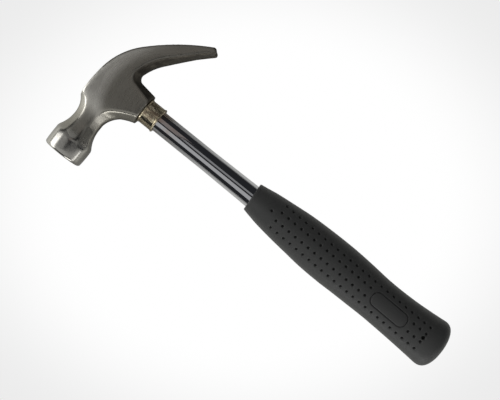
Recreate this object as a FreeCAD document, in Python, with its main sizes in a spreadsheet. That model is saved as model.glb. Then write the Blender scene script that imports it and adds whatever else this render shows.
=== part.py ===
# Claw hammer with a tubular steel handle, lying on its side.
# +X runs along the handle from the head to the butt, +Y towards the claw, +Z up.
# The origin is under the middle of the hammer's outline, on the surface it lies on.
# Every piece is drawn about its own centre plane, which lies mid_height above that surface.
import FreeCAD, Part
import math
import os
import Sketcher

Vector = FreeCAD.Vector

# Driving dimensions, in millimetres.
DIMENSIONS = {
    # whole hammer: datum_x sets the drawing's zero off the middle of the outline
    "datum_x": -0.45,
    "mid_height": 15.6,
    "tube_axis_y": -1.7,
    # poll: the round bell and the octagonal neck, each on its own axis parallel to Y
    "poll_x": -144.0,
    "face_y": -64.6,
    "face_radius": 14.1,
    "face_edge": 1.0,
    "bell_radius": 15.5,
    "bell_edge_radius": 15.26,
    "bell_rim_y": -50.4,
    "bell_bulge": 110.0,
    "neck_x": -144.55,
    "neck_y": -34.5,
    "neck_half": 10.43,
    "neck_flare": 26.2,
    "neck_straight_y": -30.0,
    # cheeks, claw and the bevels that run into the neck
    "cheek_half": 11.8,
    "cheek_start_y": -12.0,
    "neck_width_bend": 95.0,
    "claw_taper_y": 12.0,
    "claw_end_half": 12.0,
    "bevel_low": 4.32,
    "bevel_high": 13.0,
    "eye_end_x": -117.0,
    "eye_low_y": -13.95,
    "eye_high_y": 10.25,
    "under_eye_x": -126.85,
    "under_eye_y": -18.2,
    "throat_low_x": -131.2,
    "throat_low_y": 12.2,
    "throat_high_x": -134.1,
    "throat_high_y": 16.9,
    "claw_inner_x": -126.3,
    "claw_inner_y": 31.95,
    "tip_inner_x": -101.7,
    "tip_inner_y": 61.4,
    "tip_outer_x": -105.2,
    "tip_outer_y": 64.2,
    "claw_outer_x": -145.55,
    "claw_outer_y": 32.0,
    "crown_high_x": -159.2,
    "crown_high_y": 0.0,
    "crown_low_x": -159.95,
    "crown_low_y": -22.0,
    # the same outline where the bevels reach bevel_high
    "facet_under_x": -137.2,
    "facet_under_y": -19.2,
    "facet_eye_low_y": -8.2,
    "facet_eye_high_y": 4.3,
    "facet_throat_low_x": -131.3,
    "facet_throat_low_y": 8.1,
    "facet_throat_high_x": -138.3,
    "facet_throat_high_y": 14.7,
    "facet_claw_x": -128.7,
    "facet_claw_y": 34.7,
    "facet_crown_x": -159.32,
    "facet_crown_y": -18.1,
    # radii of the outline's arcs
    "under_neck_bend": 19.6,
    "under_eye_bend": 47.3,
    "throat_bend": 4.6,
    "claw_root_bend": 41.0,
    "claw_inner_bend": 900.0,
    "tip_bend": 2.3,
    "claw_outer_bend": 173.0,
    "crown_top_bend": 52.8,
    "crown_bend": 107.0,
    "crown_neck_bend": 17.0,
    "facet_neck_bend": 12.0,
    "facet_eye_bend": 65.0,
    "facet_throat_bend": 7.2,
    "facet_root_bend": 49.0,
    "facet_crown_bend": 16.9,
    # nail slot between the tines
    "slot_angle": 45.0,
    "slot_root_x": -131.0,
    "slot_root_y": 36.5,
    "slot_root_half": 1.1,
    "slot_root_bend": 1.25,
    "slot_length": 41.0,
    "slot_tip_half": 4.9,
    # eye through the head and the tube expanded in it
    "eye_radius": 8.0,
    "eye_flare_x": -147.0,
    "eye_mouth_x": -161.0,
    "eye_mouth_radius": 9.0,
    # handle tube
    "tube_wall": 1.5,
    "tube_top_x": -158.4,
    "tube_taper_x": -60.0,
    "tube_waist_x": -18.0,
    "tube_waist_radius": 8.6,
    "tube_full_x": 40.0,
    "tube_full_radius": 10.0,
    "tube_end_x": 148.0,
    # collar under the head
    "collar_start_x": -116.9,
    "collar_end_x": -103.7,
    "collar_radius": 9.35,
    "collar_rim_bend": 0.8,
    "collar_rim": 1.5,
    # wood core and steel wedge that hold the tube in the eye
    "core_end_x": -128.0,
    "wedge_depth": 14.0,
    "wedge_width": 10.0,
    "wedge_head": 2.4,
    "wedge_tip": 0.5,
    # plug that closes the tube's lower end
    "plug_depth": 18.0,
    "plug_flange": 3.5,
}

# Grip: one row per oval section, from the mouth to the butt:
# place along X, half width along Y, half thickness along Z, drop of the centre below the tube's axis.
GRIP_SECTIONS = {
    "mouth": (-16.1, 11.0, 10.9, 0.0),
    "shoulder": (-5.0, 13.0, 12.6, 0.0),
    "swell": (16.0, 15.7, 14.4, 0.0),
    "belly": (52.0, 17.95, 15.4, 0.2),
    "belly_end": (74.0, 17.7, 15.2, 0.3),
    "waist": (98.0, 16.7, 14.6, 1.1),
    "waist_end": (118.0, 16.85, 14.6, 1.35),
    "heel": (138.0, 17.85, 15.1, 1.3),
    "butt": (149.5, 18.8, 15.4, 1.1),
    "butt_edge": (156.3, 17.9, 14.5, 1.2),
    "butt_round": (160.0, 13.5, 10.4, 1.2),
    "butt_end": (161.1, 8.0, 5.5, 1.2),
}

doc = FreeCAD.newDocument("claw_hammer")
sheet = doc.addObject("Spreadsheet::Sheet", "dims")


def fill_sheet():
    """Writes every driving dimension as a plain number with its alias."""
    rows = dict(DIMENSIONS)
    for section, values in GRIP_SECTIONS.items():
        for quantity, value in zip(("place", "width", "thick", "drop"), values):
            rows[f"grip_{section}_{quantity}"] = value
    for row, (alias, value) in enumerate(rows.items(), start=1):
        sheet.set(f"A{row}", alias)
        sheet.set(f"B{row}", str(value))
        sheet.setAlias(f"B{row}", alias)
    doc.recompute()


def value_of(expression):
    """The number that a cell, or an expression over cells, stands for."""
    return float(sheet.evalExpression(expression))


def bound(expression):
    """The same expression with each alias read from the sheet."""
    words = []
    for word in expression.split():
        words.append(f"dims.{word}" if word.replace("_", "").isalpha() else word)
    return " ".join(words)


def new_body(label, along_tube=False):
    """An empty body at mid height, on the tube's axis if asked."""
    body = doc.addObject("PartDesign::Body", label)
    body.Label = label
    body.setExpression("Placement.Base.x", bound("datum_x"))
    body.setExpression("Placement.Base.z", bound("mid_height"))
    if along_tube:
        body.setExpression("Placement.Base.y", bound("tube_axis_y"))
    return body


def origin_plane(body, role):
    """One of the body's own origin planes."""
    return [item for item in body.Origin.OriginFeatures if item.Role == role][0]


def new_sketch(body, name, role, offset=None):
    """A sketch on one of the body's own origin planes."""
    sketch = body.newObject("Sketcher::SketchObject", name)
    sketch.AttachmentSupport = (origin_plane(body, role), "")
    sketch.MapMode = "FlatFace"
    if offset:
        sketch.AttachmentOffset = offset
    return sketch


def shorter_arc(start, end, radius):
    """The shorter arc between two points, drawn anticlockwise as sketches want it.
    A positive radius bulges to the left of the way, so it is drawn from its far end."""
    chord = end - start
    half = chord.Length / 2
    rise = abs(radius) - math.sqrt(radius * radius - half * half)
    left = Vector(-chord.y, chord.x, 0).normalize()
    middle = (start + end) * 0.5 + left * math.copysign(rise, radius)
    if radius > 0:
        return Part.Arc(end, middle, start)
    return Part.Arc(start, middle, end)


def draw_outline(sketch, corners):
    """Closes a loop through (x, y, bend) rows: expressions for a corner, and for the radius of
    the arc that leaves it, with a sign for its side, or None where a straight line leaves it."""
    points = [Vector(value_of(x), value_of(y), 0) for x, y, bend in corners]
    first = len(sketch.Geometry)
    ends = []
    for index, (x, y, bend) in enumerate(corners):
        start = points[index]
        end = points[(index + 1) % len(points)]
        if bend is None:
            sketch.addGeometry(Part.LineSegment(start, end))
            ends.append((1, 2))
            continue
        sketch.addGeometry(shorter_arc(start, end, value_of(bend)))
        ends.append((2, 1) if value_of(bend) > 0 else (1, 2))
    for index, (x, y, bend) in enumerate(corners):
        edge = first + index
        following = (index + 1) % len(corners)
        join = Sketcher.Constraint(
            "Coincident", edge, ends[index][1], first + following, ends[following][0])
        sketch.addConstraint(join)
        for kind, expression in (("DistanceX", x), ("DistanceY", y)):
            size = Sketcher.Constraint(kind, -1, 1, edge, ends[index][0], value_of(expression))
            sketch.setExpression(f"Constraints[{sketch.addConstraint(size)}]", bound(expression))
        if bend is not None:
            radius = bend.lstrip("- ")
            size = Sketcher.Constraint("Radius", edge, value_of(radius))
            sketch.setExpression(f"Constraints[{sketch.addConstraint(size)}]", bound(radius))


def revolve(body, name, corners):
    """Turns an outline of (place along X, radius) corners about the body's X axis."""
    sketch = new_sketch(body, f"{name}_outline", "XY_Plane")
    draw_outline(sketch, corners)
    turned = body.newObject("PartDesign::Revolution", name)
    turned.Profile = sketch
    turned.ReferenceAxis = (sketch, ["H_Axis"])
    turned.Angle = 360
    return turned


def check_cut(body, volume_before, name):
    """A cut that points away from the solid removes nothing and raises nothing."""
    doc.recompute()
    if body.Shape.Volume >= volume_before - 1:
        raise ValueError(f"{name} removes nothing")


def make_head():
    """One forging: bell, octagonal neck, cheeks, split claw and the eye."""
    body = new_body("head")

    # side view of the forging where its walls stand upright, from the neck round by the claw
    side = new_sketch(body, "side_outline", "XY_Plane")
    side.setExpression("AttachmentOffset.Base.z", bound("bevel_low"))
    draw_outline(side, [
        ("neck_x + neck_half", "neck_y", None),
        ("neck_x + neck_half", "neck_straight_y", "under_neck_bend"),
        ("under_eye_x", "under_eye_y", "under_eye_bend"),
        ("eye_end_x", "eye_low_y", None),
        ("eye_end_x", "eye_high_y", None),
        ("throat_low_x", "throat_low_y", "throat_bend"),
        ("throat_high_x", "throat_high_y", "claw_root_bend"),
        ("claw_inner_x", "claw_inner_y", "claw_inner_bend"),
        ("tip_inner_x", "tip_inner_y", "- tip_bend"),
        ("tip_outer_x", "tip_outer_y", "- claw_outer_bend"),
        ("claw_outer_x", "claw_outer_y", "- crown_top_bend"),
        ("crown_high_x", "crown_high_y", "- crown_bend"),
        ("crown_low_x", "crown_low_y", "crown_neck_bend"),
        ("neck_x - neck_half", "neck_y", None),
    ])
    slab = body.newObject("PartDesign::Pad", "slab")
    slab.Profile = side
    slab.setExpression("Length", bound("2 * bevel_low"))
    slab.Reversed = True

    # the same outline where the bevels reach their top
    facet = new_sketch(body, "facet_outline", "XY_Plane")
    facet.setExpression("AttachmentOffset.Base.z", bound("bevel_high"))
    facet_half = "( neck_half + bevel_low - bevel_high )"
    draw_outline(facet, [
        (f"neck_x + {facet_half}", "neck_y", None),
        (f"neck_x + {facet_half}", "neck_straight_y", "facet_neck_bend"),
        ("facet_under_x", "facet_under_y", "facet_eye_bend"),
        ("eye_end_x", "facet_eye_low_y", None),
        ("eye_end_x", "facet_eye_high_y", None),
        ("facet_throat_low_x", "facet_throat_low_y", "facet_throat_bend"),
        ("facet_throat_high_x", "facet_throat_high_y", "facet_root_bend"),
        ("facet_claw_x", "facet_claw_y", "claw_inner_bend"),
        ("tip_inner_x", "tip_inner_y", "- tip_bend"),
        ("tip_outer_x", "tip_outer_y", "- claw_outer_bend"),
        ("claw_outer_x", "claw_outer_y", "- crown_top_bend"),
        ("crown_high_x", "crown_high_y", "- crown_bend"),
        ("facet_crown_x", "facet_crown_y", "facet_crown_bend"),
        (f"neck_x - {facet_half}", "neck_y", None),
    ])
    bevels = body.newObject("PartDesign::AdditiveLoft", "bevels")
    bevels.Profile = side
    bevels.Sections = [facet]
    bevels.Ruled = True
    doc.recompute()

    # width of the head seen along the handle: neck, cheeks, and the claw's slight taper
    width = new_sketch(body, "width_outline", "YZ_Plane")
    draw_outline(width, [
        ("neck_y - 1", "neck_half", None),
        ("neck_y", "neck_half", "- neck_width_bend"),
        ("( neck_y + cheek_start_y ) / 2", "( neck_half + cheek_half ) / 2", "neck_width_bend"),
        ("cheek_start_y", "cheek_half", None),
        ("claw_taper_y", "cheek_half", None),
        ("tip_outer_y + 2", "claw_end_half", None),
        ("tip_outer_y + 2", "bevel_high + 1", None),
        ("neck_y - 1", "bevel_high + 1", None),
    ])
    volume = body.Shape.Volume
    trim = body.newObject("PartDesign::Pocket", "width_trim")
    trim.Profile = width
    trim.Type = "ThroughAll"
    trim.Midplane = True
    check_cut(body, volume, "width_trim")
    both_sides = body.newObject("PartDesign::Mirrored", "both_sides")
    both_sides.Originals = [bevels, trim]
    both_sides.MirrorPlane = (origin_plane(body, "XY_Plane"), [""])
    body.Tip = both_sides

    # poll: a round bell and the stock that the neck's eight flats are cut from
    on_poll = FreeCAD.Placement(Vector(value_of("poll_x"), 0, 0), FreeCAD.Rotation())
    turned = new_sketch(body, "poll_outline", "XY_Plane", on_poll)
    turned.setExpression("AttachmentOffset.Base.x", bound("poll_x"))
    draw_outline(turned, [
        ("0", "face_y", None),
        ("face_radius", "face_y", None),
        ("bell_edge_radius", "face_y + face_edge", "- bell_bulge"),
        ("bell_radius", "bell_rim_y", None),
        ("bell_radius", "neck_y", None),
        ("0", "neck_y", None),
    ])
    poll = body.newObject("PartDesign::Revolution", "poll")
    poll.Profile = turned
    poll.ReferenceAxis = (turned, ["V_Axis"])
    poll.Angle = 360
    doc.recompute()

    on_neck = FreeCAD.Placement(Vector(value_of("neck_x"), 0, 0), FreeCAD.Rotation())
    flat = new_sketch(body, "neck_flat_outline", "XY_Plane", on_neck)
    flat.setExpression("AttachmentOffset.Base.x", bound("neck_x"))
    draw_outline(flat, [
        ("neck_half", "neck_y", "- neck_flare"),
        ("bell_radius + 0.2", "bell_rim_y - 0.4", None),
        ("bell_radius + 4", "bell_rim_y - 0.4", None),
        ("bell_radius + 4", "neck_y", None),
    ])
    volume = body.Shape.Volume
    neck_flat = body.newObject("PartDesign::Pocket", "neck_flat")
    neck_flat.Profile = flat
    neck_flat.Type = "ThroughAll"
    neck_flat.Midplane = True
    check_cut(body, volume, "neck_flat")
    eight_flats = body.newObject("PartDesign::PolarPattern", "eight_flats")
    eight_flats.Originals = [neck_flat]
    eight_flats.Axis = (flat, ["V_Axis"])
    eight_flats.Angle = 360
    eight_flats.Occurrences = 8
    body.Tip = eight_flats
    doc.recompute()

    # nail slot: a wedge between the tines, square to the claw's plate
    turn = FreeCAD.Rotation(Vector(0, -1, 0), value_of("slot_angle"))
    root = Vector(value_of("slot_root_y"), 0, value_of("slot_root_x"))
    across = new_sketch(body, "slot_outline", "YZ_Plane", FreeCAD.Placement(root, turn))
    across.setExpression("AttachmentOffset.Base.x", bound("slot_root_y"))
    across.setExpression("AttachmentOffset.Base.z", bound("slot_root_x"))
    across.setExpression("AttachmentOffset.Rotation.Angle", bound("slot_angle"))
    draw_outline(across, [
        ("0", "- slot_root_half", None),
        ("slot_length", "- slot_tip_half", None),
        ("slot_length", "slot_tip_half", None),
        ("0", "slot_root_half", "- slot_root_bend"),
    ])
    volume = body.Shape.Volume
    slot = body.newObject("PartDesign::Pocket", "nail_slot")
    slot.Profile = across
    slot.Type = "ThroughAll"
    slot.Midplane = True
    check_cut(body, volume, "nail_slot")

    # eye: a straight bore that opens out towards the crown
    on_tube = FreeCAD.Placement(Vector(0, value_of("tube_axis_y"), 0), FreeCAD.Rotation())
    bore = new_sketch(body, "eye_outline", "XY_Plane", on_tube)
    bore.setExpression("AttachmentOffset.Base.y", bound("tube_axis_y"))
    draw_outline(bore, [
        ("eye_mouth_x", "0", None),
        ("eye_end_x + 1", "0", None),
        ("eye_end_x + 1", "eye_radius", None),
        ("eye_flare_x", "eye_radius", None),
        ("eye_mouth_x", "eye_mouth_radius", None),
    ])
    volume = body.Shape.Volume
    eye = body.newObject("PartDesign::Groove", "eye")
    eye.Profile = bore
    eye.ReferenceAxis = (bore, ["H_Axis"])
    eye.Angle = 360
    check_cut(body, volume, "eye")
    return body


def mouth_radius(inset):
    """Radius of the eye's taper where the tube ends, less an inset, as an expression."""
    share = "( eye_flare_x - tube_top_x ) / ( eye_flare_x - eye_mouth_x )"
    return f"eye_radius + ( eye_mouth_radius - eye_radius ) * {share} - {inset}"


def make_handle_tube():
    """The steel tube: expanded in the eye at the top, widening towards the butt."""
    body = new_body("handle_tube", along_tube=True)
    revolve(body, "tube", [
        ("tube_top_x", mouth_radius("tube_wall"), None),
        ("eye_flare_x", "eye_radius - tube_wall", None),
        ("tube_taper_x", "eye_radius - tube_wall", None),
        ("tube_waist_x", "tube_waist_radius - tube_wall", None),
        ("tube_full_x", "tube_full_radius - tube_wall", None),
        ("tube_end_x", "tube_full_radius - tube_wall", None),
        ("tube_end_x", "tube_full_radius", None),
        ("tube_full_x", "tube_full_radius", None),
        ("tube_waist_x", "tube_waist_radius", None),
        ("tube_taper_x", "eye_radius", None),
        ("eye_flare_x", "eye_radius", None),
        ("tube_top_x", mouth_radius("0"), None),
    ])
    return body


def make_collar():
    """The thin sleeve under the head, with a rolled rim at each end."""
    body = new_body("collar", along_tube=True)
    revolve(body, "sleeve", [
        ("collar_start_x", "eye_radius", None),
        ("collar_end_x", "eye_radius", None),
        ("collar_end_x", "collar_radius", "- collar_rim_bend"),
        ("collar_end_x - collar_rim", "collar_radius", None),
        ("collar_start_x + collar_rim", "collar_radius", "- collar_rim_bend"),
        ("collar_start_x", "collar_radius", None),
    ])
    return body


def wedge_outline(body):
    """The wedge's taper, shared by the wedge and the slot that it opens in the core."""
    sketch = new_sketch(body, "wedge_outline", "XY_Plane")
    draw_outline(sketch, [
        ("tube_top_x", "- wedge_head / 2", None),
        ("tube_top_x + wedge_depth", "- wedge_tip / 2", None),
        ("tube_top_x + wedge_depth", "wedge_tip / 2", None),
        ("tube_top_x", "wedge_head / 2", None),
    ])
    return sketch


def make_eye_core():
    """The hardwood plug inside the top of the tube, split by the wedge."""
    body = new_body("eye_core", along_tube=True)
    revolve(body, "plug", [
        ("tube_top_x", "0", None),
        ("core_end_x", "0", None),
        ("core_end_x", "eye_radius - tube_wall", None),
        ("eye_flare_x", "eye_radius - tube_wall", None),
        ("tube_top_x", mouth_radius("tube_wall"), None),
    ])
    doc.recompute()
    volume = body.Shape.Volume
    split = body.newObject("PartDesign::Pocket", "split")
    split.Profile = wedge_outline(body)
    split.Midplane = True
    split.setExpression("Length", bound("wedge_width"))
    check_cut(body, volume, "split")
    return body


def make_eye_wedge():
    """The steel wedge that spreads the core and locks the tube in the eye."""
    body = new_body("eye_wedge", along_tube=True)
    wedge = body.newObject("PartDesign::Pad", "taper")
    wedge.Profile = wedge_outline(body)
    wedge.Midplane = True
    wedge.setExpression("Length", bound("wedge_width"))
    return body


def make_tube_end_plug():
    """The plastic plug that closes the tube's lower end inside the grip."""
    body = new_body("tube_end_plug", along_tube=True)
    revolve(body, "plug", [
        ("tube_end_x - plug_depth", "0", None),
        ("tube_end_x + plug_flange", "0", None),
        ("tube_end_x + plug_flange", "tube_full_radius", None),
        ("tube_end_x", "tube_full_radius", None),
        ("tube_end_x", "tube_full_radius - tube_wall", None),
        ("tube_end_x - plug_depth", "tube_full_radius - tube_wall", None),
    ])
    return body


def make_grip():
    """The rubber sleeve: oval outside, and inside the shape of the tube and its plug."""
    ovals = []
    for section in GRIP_SECTIONS:
        oval = doc.addObject("Part::Ellipse", f"grip_{section}")
        oval.Placement.Rotation = FreeCAD.Rotation(Vector(1, 1, 1), 120)
        oval.setExpression("MajorRadius", bound(f"grip_{section}_width"))
        oval.setExpression("MinorRadius", bound(f"grip_{section}_thick"))
        oval.setExpression("Placement.Base.x", bound(f"datum_x + grip_{section}_place"))
        oval.setExpression("Placement.Base.y", bound(f"tube_axis_y - grip_{section}_drop"))
        oval.setExpression("Placement.Base.z", bound("mid_height"))
        ovals.append(oval)
    outside = doc.addObject("Part::Loft", "grip_outside")
    outside.Sections = ovals
    outside.Solid = True
    inside = new_body("grip_inside", along_tube=True)
    revolve(inside, "bore", [
        ("tube_waist_x", "0", None),
        ("tube_end_x + plug_flange", "0", None),
        ("tube_end_x + plug_flange", "tube_full_radius", None),
        ("tube_full_x", "tube_full_radius", None),
        ("tube_waist_x", "tube_waist_radius", None),
    ])
    grip = doc.addObject("Part::Cut", "grip")
    grip.Base = outside
    grip.Tool = inside
    grip.Label = "grip"
    return grip


def save(pieces):
    """Checks every object of the document, then writes one file for each piece."""
    doc.recompute()
    for item in doc.Objects:
        if "Invalid" in item.State or "Error" in item.State:
            raise ValueError(f"{item.Name} did not build")
    for piece in pieces:
        if piece.Shape.isNull() or not piece.Shape.isValid() or len(piece.Shape.Solids) != 1:
            raise ValueError(f"{piece.Label} is not one sound solid")
    os.makedirs("parts", exist_ok=True)
    for piece in pieces:
        piece.Shape.exportStep(f"parts/{piece.Label}.step")
        print(piece.Label, round(piece.Shape.Volume), piece.Shape.BoundBox)


fill_sheet()
save([
    make_head(),
    make_handle_tube(),
    make_collar(),
    make_eye_core(),
    make_eye_wedge(),
    make_tube_end_plug(),
    make_grip(),
])
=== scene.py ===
"""Claw hammer on a plain white floor: looks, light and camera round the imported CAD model.

All lengths are metres, except the numbers of the grip's shape, which are millimetres and are
turned into metres by MM.
"""
import math

import bpy
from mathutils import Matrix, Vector


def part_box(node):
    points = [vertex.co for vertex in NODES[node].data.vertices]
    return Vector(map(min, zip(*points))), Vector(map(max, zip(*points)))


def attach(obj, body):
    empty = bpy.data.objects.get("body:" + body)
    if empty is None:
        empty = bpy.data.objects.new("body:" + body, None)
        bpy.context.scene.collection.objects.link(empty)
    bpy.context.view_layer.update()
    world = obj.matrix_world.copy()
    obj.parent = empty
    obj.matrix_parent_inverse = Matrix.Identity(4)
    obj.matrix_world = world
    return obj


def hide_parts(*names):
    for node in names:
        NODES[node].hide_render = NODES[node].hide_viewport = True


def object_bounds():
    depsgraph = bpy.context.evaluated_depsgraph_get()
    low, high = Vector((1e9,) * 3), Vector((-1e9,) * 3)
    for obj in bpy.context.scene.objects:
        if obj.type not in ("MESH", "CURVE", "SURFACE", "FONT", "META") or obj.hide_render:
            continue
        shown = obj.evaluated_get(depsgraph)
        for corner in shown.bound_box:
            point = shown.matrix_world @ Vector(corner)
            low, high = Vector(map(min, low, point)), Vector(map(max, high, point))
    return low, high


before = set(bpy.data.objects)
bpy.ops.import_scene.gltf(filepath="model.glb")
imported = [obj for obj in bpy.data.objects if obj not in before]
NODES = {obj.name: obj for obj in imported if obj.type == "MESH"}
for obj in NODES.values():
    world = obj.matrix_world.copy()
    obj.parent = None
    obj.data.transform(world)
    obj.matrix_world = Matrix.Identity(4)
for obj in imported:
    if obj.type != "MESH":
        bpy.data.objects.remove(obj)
cad_low, cad_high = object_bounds()

MM = 0.001
CENTRE = (cad_low + cad_high) / 2
TUBE_LOW, TUBE_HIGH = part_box("handle_tube")
TUBE_Y = (TUBE_LOW.y + TUBE_HIGH.y) / 2
TUBE_Z = (TUBE_LOW.z + TUBE_HIGH.z) / 2
GRIP_LOW, GRIP_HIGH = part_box("grip")
PLUG_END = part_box("tube_end_plug")[1].x
COLLAR_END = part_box("collar")[1].x
HEAD_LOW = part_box("head")[0]


# ---------------------------------------------------------------- grip: a dimpled rubber sleeve

# Outline, in millimetres: distance from the mouth, half width on the claw's side and on the
# face's side of the tube's axis, and half thickness.
GRIP_OUTLINE = [
    (0.0, 10.95, 11.1, 10.9),
    (7.0, 12.15, 12.53, 12.0),
    (14.2, 13.45, 13.78, 13.0),
    (28.8, 15.15, 15.53, 14.2),
    (43.3, 16.60, 16.83, 14.9),
    (58.0, 17.25, 18.08, 15.2),
    (76.0, 17.50, 18.48, 15.3),
    (88.0, 17.25, 18.18, 15.2),
    (102.0, 16.45, 18.03, 14.9),
    (116.3, 15.45, 17.88, 14.6),
    (131.0, 15.30, 18.28, 14.5),
    (145.5, 15.90, 18.88, 14.7),
    (160.0, 17.15, 19.68, 15.1),
    (167.0, 17.90, 20.13, 15.2),
]
OUTLINE_TOP, OUTLINE_BOTTOM, OUTLINE_THICK = 1, 2, 3
GRIP_LENGTH = (GRIP_HIGH.x - GRIP_LOW.x) / MM
# The butt's dome follows a superellipse, and the lip a quarter circle.
DOME_START = GRIP_OUTLINE[-1][0]
DOME_POWER = 2.5
DOME_STEPS = 16
LIP_ROUND = 0.7
LIP_STEPS = 5
# The mouth and the butt are cut a little out of square: shift per millimetre of height.
MOUTH_SLANT = 0.072
MOUTH_SHIFT = -0.3
MOUTH_FADE = 20.0
BUTT_SLANT = 0.035

# Bore: distance from the mouth and radius, following the flared tube to the end plug's end.
MOUTH_RADIUS = 8.65
FLARE_END = 56.1
TUBE_END_RADIUS = (TUBE_HIGH.y - TUBE_LOW.y) / 2 / MM
BORE = [
    (0.0, MOUTH_RADIUS),
    (FLARE_END, TUBE_END_RADIUS),
    ((PLUG_END - GRIP_LOW.x) / MM, TUBE_END_RADIUS),
]

# Dimples: columns along four rows, two of which stop at the plain oval panel. A fifth, middle
# row holds only a lead dimple near the mouth and a wider, deeper hole near the butt.
DIMPLE_COLUMNS = 24
DIMPLE_FIRST = 23.9
DIMPLE_PITCH = 5.84
DIMPLE_BOW = 0.0082
DIMPLE_LAST = DIMPLE_FIRST + DIMPLE_PITCH * (DIMPLE_COLUMNS - 1)
DIMPLE_DEPTH = 0.95
# A dimple's rings: radius and share of its depth. The lines of its square cell move onto them.
DIMPLE_RINGS = (0.0, 0.55, 0.9, 1.12, 1.42)
DIMPLE_PROFILE = (1.0, 0.98, 0.88, 0.1, 0.0)
CELL_LINES = (0.0, 0.5, 0.82, 1.05, 1.3)
CELL_REACH = CELL_LINES[-1]
CELL_MIDDLE = len(CELL_LINES) - 1
# Height of each row above the tube's axis at the first and at the last column.
ROWS = {
    "upper": (10.2, 7.25),
    "high": (4.45, 1.75),
    "middle": (0.85, -1.85),
    "low": (-2.75, -5.4),
    "under": (-9.15, -11.8),
}
LEAD_COLUMN = -1
LEAD_DIMPLE = 17.1
HOLE_COLUMN = DIMPLE_COLUMNS - 1
HOLE_SCALE = 1.3
HOLE_DEPTH = 2.3

# Grid lines between the dimples: round the grip before each row and after the last one, along it
# near the mouth, and along it between two columns, with more of them beside the panel.
ROW_FILL = {"upper": 10, "high": 10, "middle": 2, "low": 2, "under": 10}
END_FILL = 11
MOUTH_LINES = (2.0, 4.0, 6.5, 9.0, 11.5, 14.0)
COLUMN_FILL = 3
PANEL_FILL = 8
# Limits that keep the grid lines apart where the grip is narrow.
LEAST_WIDTH = 12.5
LEAST_RATE = 11.0
MOST_COSINE = 0.9

# Panel: centre along the grip, half length and half width, corner radius, height above the
# middle row, bare rubber beyond its ends, and the groove round it.
PANEL_CENTRE = 126.7
PANEL_HALF = (15.7, 5.5)
PANEL_CORNER = 4.7
PANEL_LIFT = -0.3
PANEL_CLEAR = 1.5
GROOVE_HALF = 0.6
GROOVE_DEPTH = 0.7


def smooth_curve(rows, column):
    """A curve through one column of the outline, with slopes from its neighbours."""
    places = [row[0] for row in rows]
    sizes = [row[column] for row in rows]
    last = len(rows) - 1
    slopes = []
    for i in range(len(rows)):
        low = max(i - 1, 0)
        high = min(i + 1, last)
        slopes.append((sizes[high] - sizes[low]) / (places[high] - places[low]))

    def value(place):
        i = 0
        while i < last - 1 and place > places[i + 1]:
            i += 1
        span = places[i + 1] - places[i]
        s = min(max((place - places[i]) / span, 0.0), 1.0)
        start = (2 * s**3 - 3 * s**2 + 1) * sizes[i] + (s**3 - 2 * s**2 + s) * span * slopes[i]
        end = (3 * s**2 - 2 * s**3) * sizes[i + 1] + (s**3 - s**2) * span * slopes[i + 1]
        return start + end

    return value


GRIP_TOP = smooth_curve(GRIP_OUTLINE, OUTLINE_TOP)
GRIP_BOTTOM = smooth_curve(GRIP_OUTLINE, OUTLINE_BOTTOM)
GRIP_THICK = smooth_curve(GRIP_OUTLINE, OUTLINE_THICK)


def grip_section(along):
    """Half width, half thickness and the centre's height of the oval at a place."""
    top = GRIP_TOP(along)
    bottom = GRIP_BOTTOM(along)
    thick = GRIP_THICK(along)
    width = (top + bottom) / 2
    lift = (top - bottom) / 2
    if along < LIP_ROUND:
        inset = LIP_ROUND * (1 - math.sqrt(1 - (1 - along / LIP_ROUND) ** 2))
        return width - inset, thick - inset, lift
    if along > DOME_START:
        share = min((along - DOME_START) / (GRIP_LENGTH - DOME_START), 1.0)
        shrink = (1 - share**DOME_POWER) ** (1 / DOME_POWER)
        return width * shrink, thick * shrink, lift
    return width, thick, lift


def slanted(along, height):
    """Shift along the handle: the mouth and the butt are cut a little out of square."""
    if along > DOME_START:
        return -BUTT_SLANT * height * (along - DOME_START) / (GRIP_LENGTH - DOME_START)
    return (MOUTH_SHIFT - MOUTH_SLANT * height) * max(0.0, 1 - along / MOUTH_FADE)


def slanted_x(along, height):
    """X in metres of a place along the grip, slanted there and never past the butt."""
    return min(GRIP_LOW.x / MM + along + slanted(along, height), GRIP_HIGH.x / MM) * MM


def grip_point(along, angle, sink=0.0):
    """A point of the grip's surface, in metres, sunk along its normal."""
    width, thick, lift = grip_section(along)
    normal = Vector((0, thick * math.cos(angle), width * math.sin(angle)))
    normal.normalize()
    height = width * math.cos(angle) - normal.y * sink
    out = thick * math.sin(angle) - normal.z * sink
    x = slanted_x(along, height)
    return Vector((x, TUBE_Y + (height + lift) * MM, TUBE_Z + out * MM))


def spread(start, end, count):
    """Values strictly between two ends, evenly spaced."""
    return [start + (end - start) * (i + 1) / (count + 1) for i in range(count)]


def column_place(column):
    """How far along the grip a column of dimples stands; the middle ones are a little further."""
    bow = DIMPLE_BOW * column * (DIMPLE_COLUMNS - 1 - column)
    return DIMPLE_FIRST + DIMPLE_PITCH * column + bow


def cell_offsets():
    """Places of the grid lines through one dimple, from its centre."""
    return [-line for line in reversed(CELL_LINES[1:])] + list(CELL_LINES)


def row_height(row, along):
    """Height of a row of dimples above the tube's axis: the rows slant a little."""
    first, last = ROWS[row]
    return first + (last - first) * (along - DIMPLE_FIRST) / (DIMPLE_LAST - DIMPLE_FIRST)


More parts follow.
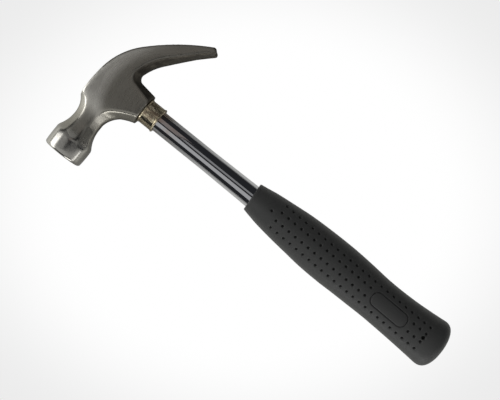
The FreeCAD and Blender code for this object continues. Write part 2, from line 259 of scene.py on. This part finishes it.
def grip_stations():
    """Grid lines along the grip: (place, column of dimples or None, line in its cell)."""
    stations = [(LIP_ROUND * (i / LIP_STEPS) ** 2, None, 0) for i in range(LIP_STEPS + 1)]
    stations += [(place, None, 0) for place in MOUTH_LINES]
    cells = [(LEAD_DIMPLE, LEAD_COLUMN)]
    cells += [(column_place(i), i) for i in range(DIMPLE_COLUMNS)]
    for number, (place, column) in enumerate(cells):
        for i, offset in enumerate(cell_offsets()):
            stations.append((place + offset, column, i - CELL_MIDDLE))
        after = cells[number + 1][0] - CELL_REACH if number + 1 < len(cells) else DOME_START
        from_panel = abs(place + DIMPLE_PITCH / 2 - PANEL_CENTRE)
        count = PANEL_FILL if from_panel < PANEL_HALF[0] + DIMPLE_PITCH else COLUMN_FILL
        stations += [(x, None, 0) for x in spread(place + CELL_REACH, after, count)]
    for i in range(DOME_STEPS):
        share = math.sin(math.pi / 2 * i / DOME_STEPS) ** (2 / DOME_POWER)
        stations.append((DOME_START + (GRIP_LENGTH - DOME_START) * share, None, 0))
    return stations


def arc_rate(width, thick, angle):
    """Millimetres of surface for one radian round an oval."""
    return max(math.hypot(width * math.sin(angle), thick * math.cos(angle)), LEAST_RATE)


def grip_ring(along):
    """Angles round one flat side at a station, from the claw's side to the face's side:
    (angle, row of dimples or None, line in its cell)."""
    width, thick, lift = grip_section(along)
    ring = []
    before = 0.0
    for row in ROWS:
        cosine = (row_height(row, min(along, DOME_START)) - lift) / max(width, LEAST_WIDTH)
        angle = math.acos(max(-MOST_COSINE, min(MOST_COSINE, cosine)))
        rate = arc_rate(width, thick, angle)
        lines = [angle + offset / rate for offset in cell_offsets()]
        ring += [(x, None, 0) for x in spread(before, lines[0], ROW_FILL[row])]
        ring += [(line, row, i - CELL_MIDDLE) for i, line in enumerate(lines)]
        before = lines[-1]
    return ring + [(x, None, 0) for x in spread(before, math.pi, END_FILL)]


def has_dimple(row, column):
    """The middle row holds only the lead dimple and the deep hole near the butt."""
    if column is None or row is None:
        return False
    if row == "middle":
        return column in (LEAD_COLUMN, HOLE_COLUMN)
    if column == LEAD_COLUMN:
        return False
    place = column_place(column)
    clear = abs(place - PANEL_CENTRE) > PANEL_HALF[0] + PANEL_CLEAR
    return clear or row not in ("high", "low")


def dimple_shift(row, column, i, j):
    """Moves a line crossing of a dimple's square cell onto a circle: shift along and across,
    and depth there."""
    scale, depth = 1.0, DIMPLE_DEPTH
    if row == "middle" and column == HOLE_COLUMN:
        scale, depth = HOLE_SCALE, HOLE_DEPTH
    step = max(abs(i), abs(j))
    if step == 0:
        return 0.0, 0.0, depth
    reach = DIMPLE_RINGS[step] * scale / math.hypot(i, j)
    along = reach * i - math.copysign(CELL_LINES[abs(i)], i)
    across = reach * j - math.copysign(CELL_LINES[abs(j)], j)
    return along, across, depth * DIMPLE_PROFILE[step]


def groove_sink(along, across):
    """Depth of the groove round the panel, from the distance to its rounded outline."""
    x = abs(along - PANEL_CENTRE) - (PANEL_HALF[0] - PANEL_CORNER)
    y = abs(across - PANEL_LIFT) - (PANEL_HALF[1] - PANEL_CORNER)
    gap = math.hypot(max(x, 0), max(y, 0)) + min(max(x, y), 0) - PANEL_CORNER
    if abs(gap) >= GROOVE_HALF:
        return 0.0
    return GROOVE_DEPTH * (0.5 + 0.5 * math.cos(math.pi * gap / GROOVE_HALF))


def side_points(along, column, i):
    """Surface points of one flat side at a station, each with its depth in a recess."""
    width, thick, lift = grip_section(along)
    points = []
    for angle, row, j in grip_ring(along):
        place, turn, sink = along, angle, 0.0
        if has_dimple(row, column):
            shift, across, sink = dimple_shift(row, column, i, j)
            place += shift
            turn += across / arc_rate(width, thick, angle)
        elif abs(along - PANEL_CENTRE) < PANEL_HALF[0] + 2 * GROOVE_HALF:
            height = width * math.cos(angle) + lift
            sink = groove_sink(along, height - row_height("middle", along))
        points.append((grip_point(place, turn, sink), sink))
    return points


def mirrored(points):
    """The same points on the other flat side, in reverse order."""
    return [(Vector((p.x, p.y, 2 * TUBE_Z - p.z)), sink) for p, sink in reversed(points)]


def bore_ring(count, along, radius):
    """A round ring with as many points as the outside's rings."""
    half = count // 2
    side = []
    for k in range(half + 1):
        height = radius * math.cos(math.pi * k / half)
        out = radius * math.sin(math.pi * k / half)
        x = slanted_x(along, height)
        side.append((Vector((x, TUBE_Y + height * MM, TUBE_Z + out * MM)), 0.0))
    return side + mirrored(side[1:-1])


def grip_rings():
    """Closed rings from the bore's end, out of the mouth and back to the butt."""
    outside = []
    for along, column, i in grip_stations():
        front = side_points(along, column, i)
        claw_side = (grip_point(along, 0.0), 0.0)
        face_side = (grip_point(along, math.pi), 0.0)
        outside.append([claw_side, *front, face_side, *mirrored(front)])
    count = len(outside[0])
    return [bore_ring(count, along, radius) for along, radius in reversed(BORE)] + outside


def make_grip():
    """One closed sleeve: dimpled outside, rounded lip, and a bore that fits the tube.
    Each vertex also keeps how deep it lies in a recess, for the painted shade in the rubber's
    colour."""
    rings = grip_rings()
    count = len(rings[0])
    vertices = [point for ring in rings for point, sink in ring]
    # how deep each point lies in a dimple or the groove: the rubber paints shade by it
    recess = [min(sink / DIMPLE_DEPTH, 1.0) for ring in rings for point, sink in ring]
    faces = []
    for r in range(len(rings) - 1):
        near, far = r * count, (r + 1) * count
        for k in range(count):
            after = (k + 1) % count
            faces.append((near + k, near + after, far + after, far + k))
    # a fan closes the bore's end, and another the butt
    for ring, in_bore in ((0, True), (len(rings) - 1, False)):
        hub = len(vertices)
        edge = ring * count
        middle = sum((point for point, sink in rings[ring]), Vector()) / count
        if not in_bore:
            middle.x = GRIP_HIGH.x
        vertices.append(middle)
        recess.append(0.0)
        for k in range(count):
            pair = (edge + k, edge + (k + 1) % count)
            faces.append((hub, *reversed(pair)) if in_bore else (hub, *pair))

    mesh = bpy.data.meshes.new("grip_sleeve")
    mesh.from_pydata([tuple(v) for v in vertices], [], faces)
    mesh.update()
    mesh.shade_smooth()
    mesh.attributes.new("recess", "FLOAT", "POINT").data.foreach_set("value", recess)
    sleeve = bpy.data.objects.new("grip_sleeve", mesh)
    bpy.context.scene.collection.objects.link(sleeve)
    mesh.materials.append(rubber_material())
    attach(sleeve, "root")
    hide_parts("grip")


# ---------------------------------------------------------------- materials

# Colours, in linear light.
GROUND_STEEL = (0.345, 0.33, 0.287)
# painted highlight: paler steel round the crown's outer curve
CROWN_HIGHLIGHT_STEEL = (0.78, 0.76, 0.695)
BELL_STEEL = (0.47, 0.46, 0.425)
STREAK_TINT = (0.86, 0.855, 0.85)
CLOUDED_STEEL = (0.30, 0.285, 0.255)
SCALE_DARK = (0.0625, 0.0553, 0.0447)
SCALE_LIGHT = (0.15, 0.1353, 0.1095)
CHROME = (0.55, 0.555, 0.57)
# painted reflection: the warm tint of the brass collar in the chrome beside it
CHROME_COLLAR_REFLECTION = (0.46, 0.38, 0.33)
BRASS = (0.78, 0.70, 0.50)
BRASS_TARNISH = (0.31, 0.245, 0.175)
WOOD_LIGHT = (0.34, 0.20, 0.095)
WOOD_DARK = (0.18, 0.095, 0.04)
WOOD_PORE = (0.09, 0.05, 0.025)
WEDGE_STEEL = (0.24, 0.23, 0.22)
WEDGE_RUST = (0.16, 0.07, 0.03)
PLASTIC_DARK = (0.03, 0.03, 0.032)
PLASTIC_LIGHT = (0.05, 0.05, 0.052)
RUBBER_DARK = (0.042, 0.043, 0.042)
RUBBER_LIGHT = (0.054, 0.055, 0.053)
RUBBER_DUST = (0.085, 0.084, 0.078)
RUBBER_RECESS_SHADE = (0.004, 0.004, 0.004)

# Zones of the head, each from where it starts to where it is complete. CURVE is the middle of the
# claw's curve, and AWAY a distance from it. Lean is how much a surface faces the flat side: 1 on
# the flat, 0 on an upright wall. The last number is how far the warm tint on the tube, a painted
# reflection of the collar, runs past the collar.
CURVE_X, CURVE_Y = HEAD_LOW.x + 0.062, 0.004
CROWN_AWAY = (0.045, 0.054)
CROWN_Y = (0.050, 0.022)
NECK_Y = (-0.034, -0.018)
BELL_Y = (HEAD_LOW.y + 0.022, HEAD_LOW.y + 0.012)
WALL_LEAN = (0.5, 0.12)
WALL_Y = (-0.046, -0.03)
BEVEL_LEAN = (0.992, 0.80)
BEVEL_Y = (0.001, 0.004)
# painted reflection of the collar: how far its warm tint runs along the tube
COLLAR_REFLECTION_REACH = 0.022

# How the forging's skin is softened: grain of the new skin, smoothing steps, and steps of
# averaging its normals.
SKIN_GRAIN = 0.0005
SKIN_STEPS = 4
NORMAL_STEPS = 16


def socket_named(sockets, identifier):
    """The socket of a node with an identifier, where several share one name."""
    return [s for s in sockets if s.identifier == identifier][0]


class Shader:
    """Builds one node material: each call adds a node and links or sets its inputs.
    Texture scales are per metre, and bump distances are metres."""

    def __init__(self, name):
        self.material = bpy.data.materials.new(name)
        self.material.use_nodes = True
        self.tree = self.material.node_tree
        self.surface = self.tree.nodes["Principled BSDF"]
        self.object = self.node("ShaderNodeTexCoord").outputs["Object"]

    def feed(self, socket, value):
        """Links a socket, or sets it to a number, vector or colour."""
        if isinstance(value, bpy.types.NodeSocket):
            self.tree.links.new(value, socket)
        elif isinstance(value, tuple) and len(value) == 3 and len(socket.default_value) == 4:
            socket.default_value = (*value, 1.0)
        else:
            socket.default_value = value

    def node(self, kind, inputs=None, **settings):
        """Adds a node with settings, and feeds its inputs."""
        made = self.tree.nodes.new(kind)
        for key, value in settings.items():
            setattr(made, key, value)
        for key, value in (inputs or {}).items():
            self.feed(made.inputs[key], value)
        return made

    def math(self, operation, a, b=0.0):
        """A sum, product or other operation on two values."""
        return self.node("ShaderNodeMath", {0: a, 1: b}, operation=operation).outputs[0]

    def stretch(self, scale):
        """Object coordinates, scaled along each axis."""
        inputs = {"Vector": self.object, "Scale": scale}
        return self.node("ShaderNodeMapping", inputs).outputs[0]

    def noise(self, vector, scale, detail=4.0, roughness=0.6, distortion=0.0):
        """Cloudy noise between 0 and 1."""
        inputs = {"Vector": vector, "Scale": scale, "Detail": detail, "Roughness": roughness,
                  "Distortion": distortion}
        return self.node("ShaderNodeTexNoise", inputs).outputs["Fac"]

    def remap(self, value, low, high, to_low=0.0, to_high=1.0):
        """A smooth step between two values."""
        inputs = {"Value": value, "From Min": low, "From Max": high, "To Min": to_low,
                  "To Max": to_high}
        made = self.node("ShaderNodeMapRange", inputs, interpolation_type="SMOOTHSTEP")
        return made.outputs["Result"]

    def blend(self, factor, a, b, mode="MIX"):
        """Mixes two colours."""
        made = self.node("ShaderNodeMix", data_type="RGBA", blend_type=mode)
        for name, value in zip(("Factor_Float", "A_Color", "B_Color"), (factor, a, b)):
            self.feed(socket_named(made.inputs, name), value)
        return socket_named(made.outputs, "Result_Color")

    def bump(self, height, strength, distance, under=None):
        """Fine relief, over another one if given."""
        inputs = {"Height": height, "Strength": strength, "Distance": distance}
        if under:
            inputs["Normal"] = under
        return self.node("ShaderNodeBump", inputs).outputs["Normal"]

    def finish(self, **inputs):
        """Feeds the surface and returns the material."""
        for key, value in inputs.items():
            self.feed(self.surface.inputs[key.replace("_", " ").title()], value)
        return self.material


def axis(shader, vector, name):
    """One coordinate of a vector."""
    return shader.node("ShaderNodeSeparateXYZ", {0: vector}).outputs[name]


def head_material():
    """Ground steel with streaks along the claw and a painted highlight round the crown's outer
    curve, and dark forged scale on the upright walls, in the throat and along the claw's inner
    side."""
    s = Shader("head_steel")
    x = axis(s, s.object, "X")
    y = axis(s, s.object, "Y")
    normal = s.node("ShaderNodeTexCoord").outputs["Normal"]
    lean = s.math("ABSOLUTE", axis(s, normal, "Z"))

    # distance from, and angle round, the middle of the claw's curve
    curve_x = s.math("SUBTRACT", x, CURVE_X)
    curve_y = s.math("SUBTRACT", y, CURVE_Y)
    away = s.math("SQRT", s.math("ADD", s.math("POWER", curve_x, 2.0),
                                 s.math("POWER", curve_y, 2.0)))
    turn = s.math("ARCTAN2", curve_y, curve_x)
    inputs = {"X": s.math("MULTIPLY", away, 2200.0), "Y": s.math("MULTIPLY", turn, 5.0),
              "Z": s.math("MULTIPLY", axis(s, s.object, "Z"), 500.0)}
    along_claw = s.node("ShaderNodeCombineXYZ", inputs).outputs[0]
    streaks = s.noise(along_claw, 1.0, detail=6.0, roughness=0.7)
    clouds = s.noise(s.object, 90.0, detail=5.0, roughness=0.65, distortion=0.6)
    grain = s.noise(s.object, 900.0, detail=3.0)

    # forged scale: walls of the body and claw, and every inner bevel above the eye
    wall = s.math("MULTIPLY", s.remap(lean, *WALL_LEAN), s.remap(y, *WALL_Y))
    ragged = s.math("ADD", y, s.math("MULTIPLY", s.math("SUBTRACT", clouds, 0.5), 0.004))
    inner = s.math("MULTIPLY", s.remap(lean, *BEVEL_LEAN), s.remap(ragged, *BEVEL_Y))
    forged = s.math("MAXIMUM", wall, inner)

    # ground steel: a painted highlight makes it paler round the crown's outer curve, and a finer
    # finish on the bell
    crown_highlight = s.math("MULTIPLY", s.remap(away, *CROWN_AWAY), s.remap(y, *CROWN_Y))
    crown_highlight = s.math("MULTIPLY", crown_highlight, s.remap(y, *NECK_Y, 0.1, 1.0))
    shade = s.blend(crown_highlight, GROUND_STEEL, CROWN_HIGHLIGHT_STEEL)
    bell = s.remap(y, *BELL_Y)
    shade = s.blend(bell, shade, BELL_STEEL)
    streaked = s.blend(1.0, shade, STREAK_TINT, "MULTIPLY")
    shade = s.blend(s.remap(streaks, 0.25, 0.75), streaked, shade)
    shade = s.blend(s.remap(clouds, 0.35, 0.75, 0.0, 0.35), shade, CLOUDED_STEEL)
    scale = s.blend(s.remap(clouds, 0.35, 0.7), SCALE_DARK, SCALE_LIGHT)
    colour = s.blend(forged, shade, scale)

    ground_rough = s.math("ADD", s.remap(streaks, 0.2, 0.8, 0.24, 0.34),
                          s.math("MULTIPLY", s.math("SUBTRACT", clouds, 0.5), 0.1))
    ground_rough = s.math("SUBTRACT", ground_rough, s.math("MULTIPLY", bell, 0.1))
    rough = s.math("ADD", ground_rough, s.math("MULTIPLY", forged, 0.25))
    metal = s.remap(forged, 0.0, 1.0, 1.0, 0.75)
    unground = s.math("SUBTRACT", 1.0, bell)
    fine = s.bump(s.math("MULTIPLY", streaks, unground), 0.12, 0.00006)
    pits = s.math("MULTIPLY", s.math("ADD", grain, clouds), forged)
    surface = s.bump(pits, 0.55, 0.0003, under=fine)
    return s.finish(base_color=colour, roughness=rough, metallic=metal, normal=surface)


def chrome_material():
    """Bright plating with long drawing lines, faint smudges, and a warm painted reflection of
    the collar on the tube beside it.
    """
    s = Shader("tube_chrome")
    x = axis(s, s.object, "X")
    lines = s.noise(s.stretch((25.0, 1300.0, 1300.0)), 1.0, detail=4.0)
    waves = s.noise(s.stretch((9.0, 60.0, 60.0)), 1.0, detail=2.0)
    smudges = s.noise(s.object, 70.0, detail=5.0, distortion=0.8)
    # painted reflection of the collar: a warm tint on the tube beside it, broken into patches by
    # the smudges
    warm_patch = s.math("MULTIPLY", s.remap(x, COLLAR_END + COLLAR_REFLECTION_REACH, COLLAR_END),
                     s.remap(smudges, 0.42, 0.62))
    colour = s.blend(warm_patch, CHROME, CHROME_COLLAR_REFLECTION)
    rough = s.math("ADD", s.remap(lines, 0.3, 0.7, 0.03, 0.06),
                   s.remap(smudges, 0.45, 0.75, 0.0, 0.03))
    lined = s.bump(lines, 0.06, 0.00002)
    surface = s.bump(waves, 0.4, 0.0005, under=lined)
    return s.finish(base_color=colour, roughness=rough, metallic=1.0, normal=surface)


def collar_material():
    """Thin pale brass, a little wrinkled and tarnished brown in its hollows."""
    s = Shader("collar_brass")
    wrinkles = s.noise(s.stretch((110.0, 430.0, 430.0)), 1.0, detail=4.0, distortion=1.2)
    spots = s.noise(s.object, 700.0, detail=4.0, roughness=0.7)
    warm_patch = s.remap(s.math("ADD", s.math("MULTIPLY", wrinkles, 0.6),
                             s.math("MULTIPLY", spots, 0.4)), 0.44, 0.58)
    colour = s.blend(warm_patch, BRASS, BRASS_TARNISH)
    rough = s.remap(warm_patch, 0.0, 1.0, 0.07, 0.22)
    surface = s.bump(wrinkles, 0.5, 0.0004)
    return s.finish(base_color=colour, roughness=rough, metallic=1.0, normal=surface)


def wood_material():
    """Hardwood core with its end grain towards the crown."""
    s = Shader("core_wood")
    inputs = {"Vector": s.stretch((60.0, 700.0, 250.0)), "Scale": 1.0, "Distortion": 3.0,
              "Detail": 3.0}
    rings = s.node("ShaderNodeTexWave", inputs, wave_type="BANDS",
                   bands_direction="Y").outputs["Fac"]
    pores = s.noise(s.stretch((200.0, 2600.0, 2600.0)), 1.0, detail=3.0)
    colour = s.blend(s.remap(rings, 0.2, 0.8), WOOD_LIGHT, WOOD_DARK)
    colour = s.blend(s.remap(pores, 0.55, 0.75, 0.0, 0.7), colour, WOOD_PORE)
    surface = s.bump(s.math("SUBTRACT", rings, pores), 0.4, 0.0003)
    return s.finish(base_color=colour, roughness=s.remap(pores, 0.3, 0.7, 0.5, 0.75),
                    normal=surface)


def wedge_material():
    """Rough dark steel with hammered spots and a little rust."""
    s = Shader("wedge_steel")
    dents = s.noise(s.object, 600.0, detail=4.0)
    rust = s.remap(s.noise(s.object, 260.0, detail=6.0, roughness=0.75), 0.52, 0.66)
    colour = s.blend(rust, WEDGE_STEEL, WEDGE_RUST)
    return s.finish(base_color=colour, roughness=s.remap(rust, 0.0, 1.0, 0.38, 0.75),
                    metallic=s.remap(rust, 0.0, 1.0, 1.0, 0.4),
                    normal=s.bump(dents, 0.6, 0.0002))


def plug_material():
    """Moulded black plastic with a faint grain."""
    s = Shader("plug_plastic")
    grain = s.noise(s.object, 1500.0, detail=3.0)
    flow = s.noise(s.object, 120.0, detail=3.0)
    colour = s.blend(flow, PLASTIC_DARK, PLASTIC_LIGHT)
    return s.finish(base_color=colour, roughness=s.remap(grain, 0.3, 0.7, 0.38, 0.55),
                    normal=s.bump(grain, 0.25, 0.0001))


def rubber_material():
    """Matte black moulded rubber: fine grain, faint scuffs and a little pale dust, and
    painted shade inside the dimples and the groove."""
    s = Shader("grip_rubber")
    grain = s.noise(s.object, 2600.0, detail=3.0)
    cloud = s.noise(s.object, 55.0, detail=5.0, roughness=0.6)
    scuffs = s.noise(s.stretch((260.0, 900.0, 900.0)), 1.0, detail=5.0, distortion=0.8)
    colour = s.blend(cloud, RUBBER_DARK, RUBBER_LIGHT)
    dust = s.math("MULTIPLY", s.remap(scuffs, 0.56, 0.72), s.remap(cloud, 0.4, 0.7, 0.1, 0.45))
    colour = s.blend(dust, colour, RUBBER_DUST)
    # painted shade: darker the deeper a point lies in a dimple or the groove
    recess = s.node("ShaderNodeAttribute", attribute_name="recess").outputs["Fac"]
    colour = s.blend(recess, colour, RUBBER_RECESS_SHADE)
    rough = s.math("ADD", s.remap(grain, 0.3, 0.7, 0.46, 0.58),
                   s.math("MULTIPLY", s.math("ADD", dust, recess), 0.25))
    surface = s.bump(scuffs, 0.1, 0.0001, under=s.bump(grain, 0.3, 0.00006))
    return s.finish(base_color=colour, roughness=rough, normal=surface)


def dress(node, material):
    """Gives a CAD node its finish."""
    NODES[node].data.materials.clear()
    NODES[node].data.materials.append(material)


def soften_forging(node):
    """Rounds a CAD node's edges all over, as forging and grinding leave them."""
    remesh = NODES[node].modifiers.new("forged_skin", "REMESH")
    remesh.mode = "VOXEL"
    remesh.voxel_size = SKIN_GRAIN
    remesh.use_smooth_shade = True
    smooth = NODES[node].modifiers.new("ground_edges", "SMOOTH")
    smooth.factor = 0.5
    smooth.iterations = SKIN_STEPS
    blend_normals(node)


def blend_normals(node):
    """Shades a skin by its averaged normals, so that curves show no facets."""
    group = bpy.data.node_groups.new("blended_normals", "GeometryNodeTree")
    for way in ("INPUT", "OUTPUT"):
        group.interface.new_socket("Geometry", in_out=way, socket_type="NodeSocketGeometry")
    start = group.nodes.new("NodeGroupInput")
    end = group.nodes.new("NodeGroupOutput")
    normal = group.nodes.new("GeometryNodeInputNormal")
    blur = group.nodes.new("GeometryNodeBlurAttribute")
    blur.data_type = "FLOAT_VECTOR"
    shade = group.nodes.new("GeometryNodeSetMeshNormal")
    shade.mode = "FREE"
    shade.domain = "POINT"
    value = [i for i in blur.inputs if i.enabled and i.name == "Value"][0]
    blur.inputs["Iterations"].default_value = NORMAL_STEPS
    group.links.new(normal.outputs["Normal"], value)
    blurred = [o for o in blur.outputs if o.enabled][0]
    group.links.new(blurred, shade.inputs["Custom Normal"])
    group.links.new(start.outputs[0], shade.inputs[0])
    group.links.new(shade.outputs[0], end.inputs[0])
    NODES[node].modifiers.new("blended_normals", "NODES").node_group = group


# ---------------------------------------------------------------- camera and studio

CAMERA_OFFSET = Vector((-16.55, -4.7, 707.0)) * MM
CAMERA_TURN = 38.9
CAMERA_LENS = 69.8
CAMERA_REACH = 20.0

WHITE = (1.0, 1.0, 1.0)

# Floor, as the camera sees it: it glows white round the hammer, and a painted falloff of light
# dims it to FLOOR_FAR outside an oval that is turned with the camera.
FLOOR_HALF = 4.0
GLOW_CENTRE = (-0.0166, -0.0045, 0.0)
GLOW_SIZE = (0.209, 0.168, 1.0)
GLOW_FADE = (0.66, 1.25)
FLOOR_FAR = 0.84
# Floor, as it lights the hammer and shows in reflections: a dim glow, with a painted pool of light
# under the handle and another beside the crown.
FLOOR_COLOUR = (0.5, 0.5, 0.48)
FLOOR_LIGHT = (1.0, 1.0, 0.96)
FLOOR_DIM = 0.07
HANDLE_POOL = 0.38
HANDLE_X = (-0.115, -0.03)
HANDLE_Y = (0.115, 0.075)
CROWN_POOL = 0.65
CROWN_SPOT = (-0.31, -0.14, 0.0)
CROWN_FADE = (0.20, 0.10)
SKY_DARK = (0.026, 0.027, 0.030)
SKY_SEEN = (FLOOR_FAR, FLOOR_FAR, FLOOR_FAR)

WARM = (1.0, 0.86, 0.8)
BANK_HEIGHT = 1.0
# Flat banks of light overhead: x range, y range, radiance and colour. The gaps between them are
# the dark lines on the tube and the bell.
BANKS = {
    "bank_face_side": ((-0.29, 1.5), (-1.15, -0.23), 0.52, WHITE),
    "bank_head": ((-1.5, -0.29), (-1.30, -0.34), 0.55, WHITE),
    "bank_claw_side": ((-0.17, 0.9), (0.04, 0.36), 0.29, WHITE),
    "bank_warm": ((-0.29, -0.18), (0.0, 0.8), 0.26, WARM),
    "bank_head_right": ((-1.5, -0.29), (0.0, 0.8), 0.23, WHITE),
    "bank_crown": ((-1.8, -0.48), (-0.09, 0.0), 0.6, WHITE),
    "bank_bell_left": ((-1.8, -0.26), (-0.34, -0.08), 0.34, WHITE),
    "bank_bell_right": ((0.10, 1.8), (-0.205, 0.0), 0.12, WHITE),
    "bank_bell_far": ((-1.8, -0.7), (-0.34, -0.08), 0.5, WHITE),
    "bank_right_far": ((0.25, 1.5), (0.36, 1.3), 0.2, WHITE),
}
# Upright panels of light round the hammer: place, the way it faces, length and height, radiance.
PANELS = {
    "panel_crown": ((-1.6, -0.935, 0.60), (1, 0, 0), (1.63, 1.06), 2.85),
    "panel_butt": ((1.6, -0.715, 0.23), (-1, 0, 0), (1.17, 0.34), 2.1),
    "panel_butt_high": ((1.6, -0.515, 0.72), (-1, 0, 0), (0.77, 0.64), 0.6),
    "panel_claw_side": ((-1.01, 1.6, 0.85), (0, -1, 0), (1.18, 1.65), 0.42),
    "panel_right_corner": ((1.3, 0.95, 0.5), (-1, -0.7, 0), (1.5, 0.9), 0.12),
    "panel_left_corner": ((-1.6, 0.8, 0.45), (1, 0, 0), (1.5, 0.85), 0.06),
    "panel_face_side": ((0.95, -1.6, 0.28), (0, 1, 0), (1.3, 0.56), 4.2),
}


def link(name, data):
    """Puts new data into the scene as an object."""
    made = bpy.data.objects.new(name, data)
    bpy.context.scene.collection.objects.link(made)
    return made


def add_camera():
    """Looks straight down on the flat side, turned so that the handle runs down to the right."""
    camera = link("camera", bpy.data.cameras.new("camera"))
    camera.data.lens = CAMERA_LENS
    camera.data.clip_end = CAMERA_REACH
    camera.location = CENTRE + CAMERA_OFFSET
    camera.rotation_euler = (0.0, 0.0, math.radians(CAMERA_TURN))
    bpy.context.scene.camera = camera


def add_floor():
    """A plain pale floor that glows: burnt out to the eye with a painted falloff of light, and
    dimmer where it lights the hammer, with painted pools of light.
    """
    half = FLOOR_HALF
    corners = [(-half, -half, 0), (half, -half, 0), (half, half, 0), (-half, half, 0)]
    mesh = bpy.data.meshes.new("floor")
    mesh.from_pydata(corners, [], [(0, 1, 2, 3)])
    s = Shader("floor_white")
    seen = s.node("ShaderNodeLightPath").outputs["Is Camera Ray"]
    s.feed(s.surface.inputs["Base Color"], s.blend(seen, FLOOR_COLOUR, (0.0, 0.0, 0.0)))
    s.feed(s.surface.inputs["Roughness"], 0.9)
    s.feed(s.surface.inputs["Specular IOR Level"], 0.0)

    # painted falloff of light as the camera sees the floor: full white inside an oval turned with
    # the camera, dimmer outside
    inputs = {"Vector": s.object, "Location": GLOW_CENTRE, "Scale": GLOW_SIZE,
              "Rotation": (0.0, 0.0, math.radians(CAMERA_TURN))}
    oval = s.node("ShaderNodeMapping", inputs, vector_type="TEXTURE").outputs[0]
    off_centre = s.node("ShaderNodeVectorMath", {0: oval}, operation="LENGTH").outputs["Value"]
    glow = s.remap(off_centre, *GLOW_FADE, 1.0, FLOOR_FAR)

    # painted pools of light in the floor's glow, for the hammer's light and reflections: under the
    # handle and beside the crown
    x = axis(s, s.object, "X")
    y = s.math("ABSOLUTE", axis(s, s.object, "Y"))
    under_handle = s.math("MULTIPLY", s.remap(x, *HANDLE_X), s.remap(y, *HANDLE_Y))
    from_spot = s.node("ShaderNodeVectorMath", {0: s.object, 1: CROWN_SPOT},
                       operation="DISTANCE").outputs["Value"]
    by_crown = s.remap(from_spot, *CROWN_FADE)
    pool = s.math("ADD", s.math("MULTIPLY", under_handle, HANDLE_POOL),
                  s.math("MULTIPLY", by_crown, CROWN_POOL))
    s.feed(s.surface.inputs["Emission Color"], s.blend(seen, FLOOR_LIGHT, WHITE))
    s.feed(s.surface.inputs["Emission Strength"],
           s.math("MAXIMUM", s.math("MULTIPLY", seen, glow), s.math("ADD", pool, FLOOR_DIM)))
    mesh.materials.append(s.material)
    link("floor", mesh)


def add_world():
    """Dim surroundings, pale where the camera looks past the floor."""
    world = bpy.data.worlds.new("studio")
    bpy.context.scene.world = world
    world.use_nodes = True
    nodes, links = world.node_tree.nodes, world.node_tree.links
    path = nodes.new("ShaderNodeLightPath")
    mix = nodes.new("ShaderNodeMix")
    mix.data_type = "RGBA"
    socket_named(mix.inputs, "A_Color").default_value = (*SKY_DARK, 1)
    socket_named(mix.inputs, "B_Color").default_value = (*SKY_SEEN, 1)
    links.new(path.outputs["Is Camera Ray"], socket_named(mix.inputs, "Factor_Float"))
    links.new(socket_named(mix.outputs, "Result_Color"), nodes["Background"].inputs["Color"])


def add_panel(name, place, facing, size, radiance, colour=WHITE):
    """A soft rectangular light at a place, facing a way, with an even radiance.
    The size is its length across and its height or depth."""
    light = bpy.data.lights.new(name, "AREA")
    light.shape = "RECTANGLE"
    light.size, light.size_y = size
    light.energy = math.pi * light.size * light.size_y * radiance
    light.color = colour
    panel = link(name, light)
    panel.location = place
    panel.rotation_euler = Vector(facing).to_track_quat("-Z", "Y").to_euler()
    panel.visible_camera = False


def add_bank(name, x_range, y_range, radiance, colour):
    """A flat bank overhead that covers a range of x and of y."""
    place = (sum(x_range) / 2, sum(y_range) / 2, BANK_HEIGHT)
    size = (x_range[1] - x_range[0], y_range[1] - y_range[0])
    add_panel(name, place, (0, 0, -1), size, radiance, colour)


def add_lights():
    """Soft studio light: banks overhead and panels all round, none of them seen directly."""
    for name, bank in BANKS.items():
        add_bank(name, *bank)
    for name, panel in PANELS.items():
        add_panel(name, *panel)


dress("head", head_material())
dress("handle_tube", chrome_material())
dress("collar", collar_material())
dress("eye_core", wood_material())
dress("eye_wedge", wedge_material())
dress("tube_end_plug", plug_material())
soften_forging("head")
make_grip()
add_camera()
add_floor()
add_world()
add_lights()
bpy.context.scene.view_settings.view_transform = "Standard"
